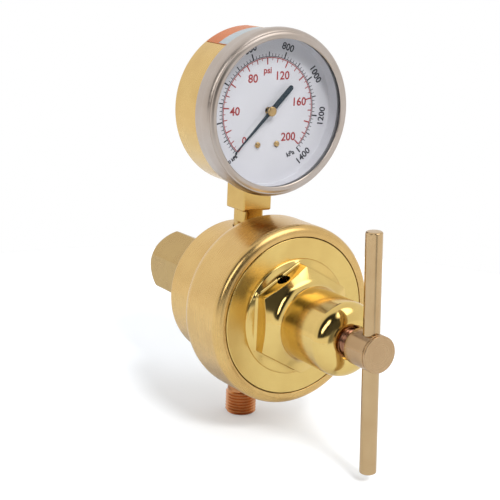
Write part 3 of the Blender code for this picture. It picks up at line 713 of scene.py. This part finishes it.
def make_adjuster():
    """Threaded screw with its round head, and the T-bar pressed through it."""
    head = [(HEAD_FRONT, 0), (HEAD_FRONT, HEAD_R), (-59.3, HEAD_R)]
    head += [(-59.25, HEAD_R - 0.35), (-58.95, HEAD_R - 0.35), (-58.9, HEAD_R)]
    head += [(HEAD_BACK - 0.7, HEAD_R), (HEAD_BACK, HEAD_R - 0.9), (HEAD_BACK, 5.0)]
    head = soften(head, 0.35)
    thread = Thread(HEAD_BACK, SCREW_TIP - 0.4, SCREW_R - 0.95, SCREW_R, SCREW_PITCH, chamfer=0.5)
    tip = [(SCREW_TIP - 0.1, 4.2), (SCREW_TIP, 3.6), (SCREW_TIP, 0)]
    screw = made_object("screw", turned(head, thread, tip, angles=THREADED), ON_AXIS)
    across = Matrix.Translation((0.0, FACE_Y + BAR_STATION, 0.0)) @ Matrix.Rotation(
        math.radians(BAR_TILT), 4, "Y") @ Matrix.Rotation(math.pi / 2, 4, "X")
    cutter = hole(BAR_R + 0.12, -HEAD_R - 3.0, HEAD_R + 3.0, across)
    piece("threaded_screw", cut(screw, [cutter]), "adjusting_screw")
    low, high = BAR_ENDS
    bar = [(low, 0), (low, BAR_R - 0.55), (low + 0.45, BAR_R)]
    bar += [(high - 0.45, BAR_R), (high, BAR_R - 0.55), (high, 0)]
    piece("tee_bar", made_object("bar", turned(soften(bar, 0.3), angles=even_angles(72)), across), "t_bar",
          material=BAR_FINISH)


def make_inlet():
    """Hexagon nut with its inner thread and domed end, and the nipple with its round nose."""
    width = 1.0
    side = polygon(NUT_FLATS, 6, NUT_CORNER, width)
    angles = polygon_angles(6, NUT_CORNER, width, per_side=15)
    corner = side(NUT_CORNER)
    face_r = 15.1

    def front_cone(radius):
        return NUT_FRONT + (radius - face_r) * 0.57

    def dome(radius):
        return INLET_END - 4.6 * (max(radius - 12.6, 0.0) / (corner - 12.6)) ** 1.7

    outside = [(NUT_FRONT + 0.4, 7.3), (NUT_FRONT, 7.7), (NUT_FRONT, face_r - 0.3)]
    outside += [(NUT_FRONT + 0.05, face_r)]
    outside += [on_cut(front_cone, side, face_r, 0.08), on_cut(front_cone, side, face_r, 0.0, lift=0.25)]
    outside += [on_cut(dome, side, 12.9, 0.0, lift=-0.25)]
    outside += [on_cut(dome, side, 12.6, share) for share in (0.06, 0.3, 0.5, 0.7, 0.85, 1.0)]
    outside += [(INLET_END, 12.3), (INLET_END - 0.7, 11.45)]
    thread = Thread(INLET_END - 0.7, INLET_END - 13.4, 11.45, 10.65, INLET_PITCH, chamfer=0.9)
    inside = [(NUT_SOCKET + 0.4, 11.45), (NUT_SOCKET, 11.05), (NUT_SOCKET, 7.7), (NUT_SOCKET - 0.4, 7.3)]
    nut = turned(outside, thread, inside, angles=angles)
    piece("hexagon_nut", made_object("nut", nut, ON_AXIS), "inlet_nut")
    shoulder = NUT_SOCKET + 0.3
    width = 0.8
    side = polygon(NIPPLE_FLATS, 6, HEX_CORNER, width)
    hexagon = [(54.8, 9.3), (54.8, 12.3), (54.9, 12.55), (55.3, 12.69)]
    stem = [(47.3, 4.9), (47.3, 8.8), (47.8, 9.3)] + hexagon[:3]
    stem += [on_flats(55.5, side), on_flats(61.3, side), (61.9, 12.55), (62.0, 12.3), (62.0, 7.4)]
    stem += [(62.5, 6.9), (shoulder - 0.3, 6.9), (shoulder, 7.2), (shoulder, 10.2)]
    stem += [(shoulder + 0.2, 10.4), (shoulder + 3.2, 10.4)]
    stem += arc((shoulder + 5.0, 4.6), (10.0, 4.6), 75, 0, 12)
    stem += [(shoulder + 15.1, 3.4), (INLET_END - 2.9, 2.7), (INLET_END - 3.2, 2.4), (57.3, 2.4), (57.3, 4.9)]
    nipple = turned(stem, angles=polygon_angles(6, HEX_CORNER, width, per_side=12))
    piece("nosed_nipple", made_object("nipple", nipple, ON_AXIS), "inlet_nipple")


# Outlet and gauge stem.


def make_outlet():
    """Round shoulder, neck and thread, with a cone seat in the end."""
    thread_top = -46.0
    root = OUTLET_R - 0.87
    top = [(-19.5, 3.0), (-19.5, STEM_THREAD_R), (-32.7, STEM_THREAD_R), (-32.7, 8.3), (-39.8, 8.3)]
    top += [(-40.2, 7.9), (-40.2, OUTLET_NECK_R), (-45.5, OUTLET_NECK_R), (thread_top, root)]
    thread = Thread(thread_top, 0.1 - OUTLET_END, root, OUTLET_R, OUTLET_PITCH, chamfer=0.8)
    bottom = [(-OUTLET_END, OUTLET_R - 1.0), (-OUTLET_END, 5.4), (4.4 - OUTLET_END, 3.0), (-19.5, 3.0)]
    outlet = turned(soften(top, 0.3), thread, soften(bottom, 0.2), angles=THREADED)
    piece("threaded_outlet", made_object("outlet", outlet, ON_PORT), "outlet_nipple")


def make_gauge_stem():
    """Pipe-thread stem, square neck, and the square block whose rear half carries the movement."""
    angles = polygon_angles(4, 45.0, 2.3, 22)
    block = polygon(STEM_FLATS, 4, 45.0, 2.3)
    top = GAUGE_Z - TOWER_TOP

    def neck(degrees):
        return min(polygon(STEM_NECK_FLATS, 4, 45.0, 1.0)(degrees), STEM_THREAD_R)

    def inset(station, amount):
        return lambda degrees: (station, block(degrees) - amount)

    rings = [(54.0, 0), (54.0, 1.8), (19.5, 1.8), (19.5, 5.8), (20.2, STEM_THREAD_R), (33.8, STEM_THREAD_R)]
    rings += [on_flats(34.5, neck), on_flats(35.0, neck), on_flats(BLOCK_BOTTOM - 0.6, neck)]
    rings += [lambda degrees: (BLOCK_BOTTOM, neck(degrees) + 0.5)]
    rings += [inset(BLOCK_BOTTOM, 0.55), inset(BLOCK_BOTTOM + 0.2, 0.2), inset(BLOCK_BOTTOM + 0.6, 0.0)]
    rings += [inset(BLOCK_BOTTOM + 1.0, 0.0), inset(top, 0.0), (top, 0)]
    stem = made_object("stem", turned(rings, angles=angles), ON_PORT)
    step = [(-9.0, -26.4), (9.0, -26.4), (9.0, -10.0), (-9.0, -10.0)]
    cutters = [made_object("step", prism(step, -9.0, -2.3, 0), ON_GAUGE)]
    for side in (1, -1):
        cutters.append(hole(CASE_TAP_R, 4.0, 8.0, in_gauge(CASE_SCREW, side)))
        cutters.append(hole(MOVEMENT_TAP_R, -4.0, 1.5, in_gauge(MOVEMENT_SCREW, side)))
    piece("wrench_block", cut(stem, cutters), "gauge_socket")


# Gauge.


def make_gauge_shell():
    """Drawn case, stepped bezel, window and its seal, and the case screws."""
    case = [(CASE_BACK, 0), (CASE_BACK, CASE_R - CASE_ROUND)]
    case += arc((CASE_BACK - CASE_ROUND, CASE_R - CASE_ROUND), (CASE_ROUND, CASE_ROUND), 0, 90, 8)[1:]
    case += [(-10.1, CASE_R), (-10.2, RIM_R), (CASE_FRONT, RIM_R)]
    lip = [(CASE_FRONT, RIM_R), (CASE_FRONT, CASE_R - CASE_WALL), (8.1, CASE_R - CASE_WALL)]
    case += soften(lip, 0.2)[1:]
    case += [(CASE_BACK - CASE_WALL, CASE_R - CASE_ROUND), (CASE_BACK - CASE_WALL, 0)]
    shell = made_object("case", turned(case, angles=FINE_ROUND), ON_GAUGE)
    half = STEM_FLATS / 2 + CASE_GAP
    slot_outline = [(-half, -38.0), (half, -38.0), (half, -30.0), (-half, -30.0)]
    cutters = [made_object("slot", prism(slot_outline, -half, half, 0), ON_GAUGE)]
    for side in (1, -1):
        cutters.append(hole(CASE_TAP_R, CASE_BACK - 4, CASE_BACK + 2, in_gauge(CASE_SCREW, side)))
    piece("drawn_case", cut(shell, cutters), "gauge_case")
    bezel = [(-22.0, WINDOW_R), (-22.3, WINDOW_R + 0.35), (-22.3, 33.7), (-22.2, 34.2), (-21.8, 35.2)]
    bezel += [(-21.2, 36.0), (-20.4, 36.55), (-19.3, 36.9), (-18.4, 37.0), (-17.1, 37.0), (-16.8, 36.9)]
    bezel += [(-16.6, 36.6), (-16.5, 36.1), (-16.3, 35.95), (-16.1, 36.1), (-15.9, 36.2), (-11.0, 36.2)]
    bezel += [(-10.7, 36.1), (-10.6, 35.9), (-10.6, CASE_R + CASE_GAP)]
    bezel += [(-21.9, CASE_R + CASE_GAP), (-21.9, WINDOW_R)]
    piece("stepped_bezel", made_object("bezel", turned(bezel, angles=FINE_ROUND), ON_GAUGE), "gauge_bezel")
    window = [(-21.6, 0), (-21.6, RIM_R), (-19.9, RIM_R), (-19.9, 0)]
    piece("window", made_object("window", turned(window, angles=FINE_ROUND), ON_GAUGE), "gauge_lens")
    seal = [(-19.6, 32.6), (-19.6, RIM_R), (-18.9, RIM_R), (-18.9, 32.6)]
    seal = soften(seal, 0.15, closed=True)
    piece("window_seal", made_object("seal", turned(seal, angles=ROUND), ON_GAUGE), "lens_gasket")
    for name, side in (("left", -1), ("right", 1)):
        spot = in_gauge(CASE_SCREW, side)
        head = [(4.6, 0), (4.6, 1.3), (9.6, 1.3), (9.6, 2.6)]
        head += [(10.2, 2.5), (10.7, 1.8), (10.9, 0.9), (10.9, 0)]
        slotted = made_object("screw", turned(head, angles=SMALL), spot)
        outline = [(-3, -0.3), (3, -0.3), (3, 0.3), (-3, 0.3)]
        groove = made_object("groove", prism(outline, 10.3, 12.0, 0), spot)
        piece("case_screw_fine_" + name, cut(slotted, [groove]), "case_screw_" + name)


def bent_strip(inner, outer, first, last, front, back):
    """A thin strip bent round the gauge's axis between two directions and two stations."""
    steps = 24
    angles = [first + (last - first) * i / steps for i in range(steps + 1)]
    outline = [polar(inner, angle) for angle in angles] + [polar(outer, angle) for angle in reversed(angles)]
    return prism(outline, front, back, 0)


def make_label():
    """Blank sticker: a coloured field with a pale strip along its front edge."""
    inner = CASE_R + 0.06
    field = bent_strip(inner, inner + 0.14, 90.0, 126.0, front=-10.0, back=7.2)
    paper = made_object("paper", field, ON_GAUGE)
    piece("case_sticker", paper, "case_label")
    pale = bent_strip(inner + 0.13, inner + 0.18, 90.6, 125.4, front=-9.7, back=-2.6)
    strip = made_object("strip", pale, ON_GAUGE)
    detail("case_sticker_strip", strip, BODY_OF["case_label"], "label_orange", LABEL_PALE)


def make_dial():
    """Dial plate with its upturned rim, and its two slotted screws."""
    plate = [(DIAL_FRONT + 0.6, 1.6), (DIAL_FRONT, 1.6), (DIAL_FRONT, DIAL_R - 1.4)]
    plate += [(DIAL_FRONT - 0.25, DIAL_R - 0.85), (DIAL_FRONT - 0.8, DIAL_R - 0.6)]
    plate += [(DIAL_RIM, DIAL_R - 0.6), (DIAL_RIM, DIAL_R)]
    plate += [(DIAL_FRONT, DIAL_R), (DIAL_FRONT + 0.5, DIAL_R - 0.3), (DIAL_FRONT + 0.6, DIAL_R - 0.9)]
    dial = made_object("dial", turned(plate, angles=FINE_ROUND), ON_GAUGE)
    spots = {side: in_gauge(DIAL_SCREW, side) for side in (-1, 1)}
    cutters = [hole(DIAL_HOLE_R, DIAL_FRONT - 2, DIAL_FRONT + 2, spot) for spot in spots.values()]
    piece("dial_plate", cut(dial, cutters), "gauge_dial")
    for name, side in (("left", -1), ("right", 1)):
        head = [(-1.1, 0), (-1.1, 0.7), (-1.0, 1.0), (-0.75, 1.3), (-0.3, 1.3)]
        head += [(-0.3, 0.7), (2.1, 0.7), (2.1, 0)]
        spot = spots[side] @ Matrix.Translation((0.0, DIAL_FRONT, 0.0))
        screw = made_object("screw", turned(head, angles=SMALL), spot)
        outline = [(-2, -0.16), (2, -0.16), (2, 0.16), (-2, 0.16)]
        turned_spot = spot @ Matrix.Rotation(side * 0.5, 4, "Y")
        groove = made_object("groove", prism(outline, -2.0, -0.7, 0), turned_spot)
        piece("dial_screw_fine_" + name, cut(screw, [groove]), "dial_screw_" + name)


def printed(name, texts, bars, material):
    """Print on the dial: texts are (words, height, radius, direction, tilt) and bars are polar quads."""
    mesh = bmesh.new()
    for words, height, radius, degrees, tilt in texts:
        curve = bpy.data.curves.new("words", "FONT")
        curve.body = words
        curve.size = height / DIGIT_SHARE
        curve.offset = PRINT_BOLD
        curve.align_x = "CENTER"
        curve.align_y = "CENTER"
        curve.resolution_u = 3
        made = bpy.data.objects.new("words", curve)
        flat = made.to_mesh()
        x, z = polar(radius, degrees)
        low = min(vert.co.y for vert in flat.vertices)
        high = max(vert.co.y for vert in flat.vertices)
        move = Matrix.Translation((x, z, 0)) @ Matrix.Rotation(math.radians(tilt), 4, "Z")
        flat.transform(move @ Matrix.Translation((0, -(low + high) / 2, 0)))
        mesh.from_mesh(flat)
        made.to_mesh_clear()
        bpy.data.objects.remove(made)
    for near, far, first, last in bars:
        steps = max(1, round(abs(last - first) / 3))
        for i in range(steps):
            start = first + (last - first) * i / steps
            end = first + (last - first) * (i + 1) / steps
            corners = (polar(near, start), polar(near, end), polar(far, end), polar(far, start))
            mesh.faces.new([mesh.verts.new((x, z, 0.0)) for x, z in corners])
    for face in mesh.faces:
        face.normal_update()
        if face.normal.z < 0:
            face.normal_flip()
    just_before = Matrix.Translation((0.0, DIAL_FRONT - PRINT_LIFT, 0.0))
    where = ON_GAUGE @ just_before @ Matrix.Rotation(math.pi / 2, 4, "X")
    made = made_object(name, mesh, where, closed=False)
    return detail(name, made, BODY_OF["gauge_dial"], "dial_enamel", material)


def on_scale(psi):
    """Direction of a pressure on the dial."""
    return SCALE_ZERO - SCALE_TURN * psi / PSI_END


def tick(near, far, degrees, width):
    half = math.degrees(width / 2 / ((near + far) / 2))
    return near, far, degrees - half, degrees + half


def make_scales():
    """Inner scale in psi, in red, and outer scale in kPa, in black."""
    first, last = on_scale(0), on_scale(PSI_END)
    red_bars = [(22.95, 23.35, last, first)]
    for psi in range(0, 201, 5):
        if psi % 20 == 0:
            near, width = 20.2, 0.6
        elif psi % 10 == 0:
            near, width = 21.2, 0.45
        else:
            near, width = 22.0, 0.3
        red_bars.append(tick(near, 23.1, on_scale(psi), width))
    words = [(str(psi), 3.7, 16.6, on_scale(psi), 0.0) for psi in range(80, 161, 40)]
    words += [("0", 3.2, 17.4, 227.0, 0.0), ("40", 3.7, 17.2, 179.0, 0.0), ("200", 3.7, 16.6, -47.0, 0.0)]
    words += [("psi", 2.8, 17.2, 93.5, 0.0)]
    printed("scale_red", words, red_bars, PRINT_RED)
    black_bars = [(23.55, 23.85, last - 4.5, first)]
    for kpa in range(0, 1401, 20):
        if kpa % 200 == 0:
            far, width = 26.6, 0.65
        elif kpa % 100 == 0:
            far, width = 25.8, 0.5
        else:
            far, width = 25.0, 0.3
        black_bars.append(tick(23.7, far, on_scale(kpa / KPA_PER_PSI), width))
    words = []
    for kpa in range(200, 1401, 200):
        degrees = on_scale(kpa / KPA_PER_PSI)
        tilt = degrees - 90 if kpa <= 1000 else degrees + 90
        words.append((str(kpa), 3.1, 29.0, degrees, tilt))
    words += [("kPa", 2.2, 23.6, -57.0, 20.0), ("0 kPa", 1.6, 27.0, 230.0, 35.0)]
    printed("scale_black", words, black_bars, PRINT_BLACK)


def make_pointer():
    """Tapered pointer with a wide rounded tail, and the hub pressed on its shaft."""
    blade = [(0.22, 25.4), (0.8, 3.2)] + [polar(2.05, angle) for angle in (62, 45, 30, 15, 0, -15, -30, -50)]
    tail = 1.2
    blade += [(tail, -2.6), (tail, -14.0)]
    blade += [(tail * math.cos(a), -14.0 - tail * math.sin(a)) for a in (0.5, 1.0)]
    blade += [(0.0, -15.2)]
    mirrored = [(-x, z) for x, z in reversed(blade[:-1])]
    turn = math.radians(POINTER_ZERO - 90)
    outline = [
        (x * math.cos(turn) - z * math.sin(turn), x * math.sin(turn) + z * math.cos(turn))
        for x, z in blade + mirrored
    ]
    blade_mesh = prism(outline, POINTER_FRONT, POINTER_FRONT + 0.4, 0.07)
    pointer = made_object("pointer", blade_mesh, ON_GAUGE)
    bore = hole(1.5, POINTER_FRONT - 1, POINTER_FRONT + 1, ON_GAUGE)
    piece("pointer_blade", cut(pointer, [bore]), "pointer")
    hub = [(-16.4, 0), (-16.4, 1.5), (-16.3, 1.9), (-16.0, 2.15), (-15.5, 2.15), (-15.5, 1.2), (-13.4, 1.2)]
    hub += [(-13.4, 0.85), (-15.9, 0.85), (-15.9, 0)]
    piece("hub", made_object("hub", turned(hub, angles=SMALL), ON_GAUGE), "pointer_hub")


# Springs, and the CAD nodes that keep their shape.


def make_spring(name, node, mean_radius, wire_radius, turns, first, last):
    """A smooth coil of round wire."""
    steps = round(turns * 36)
    mesh = bmesh.new()
    rings = []
    for i in range(steps + 1):
        share = i / steps
        angle = 2 * math.pi * turns * share
        station = first + (last - first) * share
        out = Vector((math.cos(angle), 0.0, math.sin(angle)))
        ring = []
        for j in range(12):
            around = 2 * math.pi * j / 12
            point = out * (mean_radius + wire_radius * math.cos(around))
            point.y = station + wire_radius * math.sin(around)
            ring.append(mesh.verts.new(point))
        rings.append(ring)
    for before, after in zip(rings, rings[1:]):
        join(mesh, before, after)
    mesh.faces.new(rings[0])
    mesh.faces.new(rings[-1])
    return piece(name, made_object(name, mesh, ON_AXIS), node)


def make_insides():
    """Smooth ball, and the two springs as smooth coils, each with a mesh of its own."""
    ball_r = 2.38
    centre = SCREW_TIP + 0.3 + ball_r
    side = arc((centre, 0.0), (ball_r, ball_r), 180, 0, 20)[1:-1]
    ball = [(centre - ball_r, 0)] + side + [(centre + ball_r, 0)]
    piece("ball", made_object("ball", turned(ball, angles=SMALL), ON_AXIS), "thrust_ball")
    main_coil = make_spring("main_coil", "adjusting_spring", mean_radius=10.1, wire_radius=1.3, turns=4.25,
                            first=-15.9, last=-0.3)
    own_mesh(main_coil)
    poppet_coil = make_spring("poppet_coil", "poppet_spring", mean_radius=3.1, wire_radius=0.45, turns=5.0,
                              first=37.25, last=44.95)
    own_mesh(poppet_coil)


def finish_kept_nodes():
    """Gives the nodes that keep their CAD shape their fine material."""
    for node, made in frame["nodes"].items():
        if not made.hide_render:
            for material_slot in made.material_slots:
                material_slot.material = MATERIALS[SLOT_OF[node]]


# Floor, light and camera.

CAMERA_FROM = (-33.24, 13.84)
CAMERA_ROLL = math.radians(2.38)
CAMERA_DISTANCE = 591.2
CAMERA_TARGET = Vector((-24.84, FACE_Y, 32.21))
FOCAL_LENGTH = 100.8

# Zones of the tent, each over the ones before: direction, inner and outer half angles, and brightness.
TENT = (
    (0.0, 90.0, 179.0, 180.0, 0.92),
    (180.0, 35.0, 20.0, 60.0, 1.02),
    (-40.0, 22.0, 40.0, 54.0, 0.03),
    (-5.0, 0.0, 20.0, 34.0, 0.08),
    (0.0, -90.0, 88.0, 92.0, 1.06),
    (-2.0, -7.0, 5.0, 16.0, 0.22),
    (24.0, 48.0, 12.0, 24.0, 3.4),
    (-56.0, 19.0, 5.0, 9.0, 3.6),
    (-49.0, 27.0, 6.0, 10.0, 3.8),
    (-38.0, 36.0, 6.0, 10.0, 3.8),
)
FLOOR_R = 320.0
FLOOR_GLOW = 0.25
SUN_POWER = 2.0
SUN_FROM = (-11.0, 43.0)
SUN_ANGLE = 13.0


def toward(azimuth, elevation):
    """Unit vector for an azimuth round from -Y toward +X, and an elevation, both in degrees."""
    a, e = math.radians(azimuth), math.radians(elevation)
    return Vector((math.sin(a) * math.cos(e), -math.cos(a) * math.cos(e), math.sin(e)))


def make_floor():
    """Round pale floor that the camera sees slightly brighter than it is lit."""
    made, tree, shader = new_material("floor")
    cloud = noise(tree, place_of(tree), 0.004, 2.0)
    shade = blend_colours(tree, spread(tree, cloud, 0.0, 1.0), (0.70, 0.725, 0.755), (0.715, 0.74, 0.77))
    plug(tree, shader, Base_Color=shade, Roughness=0.9, Specular_IOR_Level=0.0)
    glow = maths(tree, "MULTIPLY", add(tree, "LightPath").outputs["Is Camera Ray"], FLOOR_GLOW)
    plug(tree, shader, Emission_Color=(1.0, 1.0, 1.0, 1.0), Emission_Strength=glow)
    mesh = bmesh.new()
    bmesh.ops.create_circle(mesh, cap_ends=True, segments=96, radius=FLOOR_R)
    floor = made_object("floor", mesh, Matrix.Translation((0.0, PORT_Y, FLOOR_Z - 0.05)), closed=False)
    floor.data.materials.append(made)


def make_sun():
    """Main light from the front, for what isn't metal, and for the soft shadow."""
    data = bpy.data.lights.new("sun", "SUN")
    data.energy = SUN_POWER
    data.angle = math.radians(SUN_ANGLE)
    light = bpy.data.objects.new("sun", data)
    light.rotation_euler = toward(*SUN_FROM).to_track_quat("Z", "Y").to_euler()
    light.visible_glossy = False
    bpy.context.scene.collection.objects.link(light)


def make_world():
    """Pale tent with dark openings and bright panels, and plain white for what the camera sees."""
    world = bpy.data.worlds.new("studio")
    bpy.context.scene.world = world
    world.use_nodes = True
    tree = world.node_tree
    tree.nodes.clear()
    direction = add(tree, "TexCoord").outputs["Generated"]
    glow = None
    for azimuth, elevation, inner, outer, amount in TENT:
        facing = add(tree, "VectorMath", {"operation": "DOT_PRODUCT"})
        tree.links.new(direction, facing.inputs[0])
        facing.inputs[1].default_value = toward(azimuth, elevation)
        near, far = math.cos(math.radians(inner)), math.cos(math.radians(outer))
        share = add(tree, "MapRange", {"interpolation_type": "SMOOTHSTEP"}, Value=facing.outputs["Value"],
                    From_Min=far, From_Max=near, To_Min=0.0, To_Max=1.0).outputs[0]
        if glow is None:
            glow = maths(tree, "MULTIPLY", share, amount)
            continue
        kept = maths(tree, "SUBTRACT", 1.0, share)
        glow = maths(tree, "ADD", maths(tree, "MULTIPLY", glow, kept), maths(tree, "MULTIPLY", share, amount))
    dim = add(tree, "Background", Color=(1.0, 1.0, 1.0, 1.0), Strength=glow)
    white = add(tree, "Background", Color=(1.0, 1.0, 1.0, 1.0), Strength=1.0)
    path = add(tree, "LightPath")
    mixed = tree.nodes.new("ShaderNodeMixShader")
    tree.links.new(path.outputs["Is Camera Ray"], mixed.inputs[0])
    tree.links.new(dim.outputs[0], mixed.inputs[1])
    tree.links.new(white.outputs[0], mixed.inputs[2])
    output = tree.nodes.new("ShaderNodeOutputWorld")
    tree.links.new(mixed.outputs[0], output.inputs["Surface"])


def make_camera():
    """Camera looking at the target from the azimuth and elevation, with a small roll."""
    back = toward(*CAMERA_FROM)
    azimuth = math.radians(CAMERA_FROM[0])
    right = Vector((math.cos(azimuth), math.sin(azimuth), 0.0))
    up = back.cross(right)
    rolled_right = right * math.cos(CAMERA_ROLL) + up * math.sin(CAMERA_ROLL)
    rolled_up = up * math.cos(CAMERA_ROLL) - right * math.sin(CAMERA_ROLL)
    data = bpy.data.cameras.new("camera")
    data.lens = FOCAL_LENGTH
    data.clip_end = 100.0
    camera = bpy.data.objects.new("camera", data)
    turn = Matrix((rolled_right, rolled_up, back)).transposed().to_4x4()
    camera.matrix_world = Matrix.Translation((CAMERA_TARGET + back * CAMERA_DISTANCE) * MM) @ turn
    bpy.context.scene.collection.objects.link(camera)
    bpy.context.scene.camera = camera


def main():
    make_body()
    make_bonnet()
    make_adjuster()
    make_inlet()
    make_outlet()
    make_gauge_stem()
    make_gauge_shell()
    make_label()
    make_dial()
    make_scales()
    make_pointer()
    make_insides()
    finish_kept_nodes()
    make_floor()
    make_world()
    make_sun()
    make_camera()
    bpy.context.scene.view_settings.view_transform = "Standard"


main()
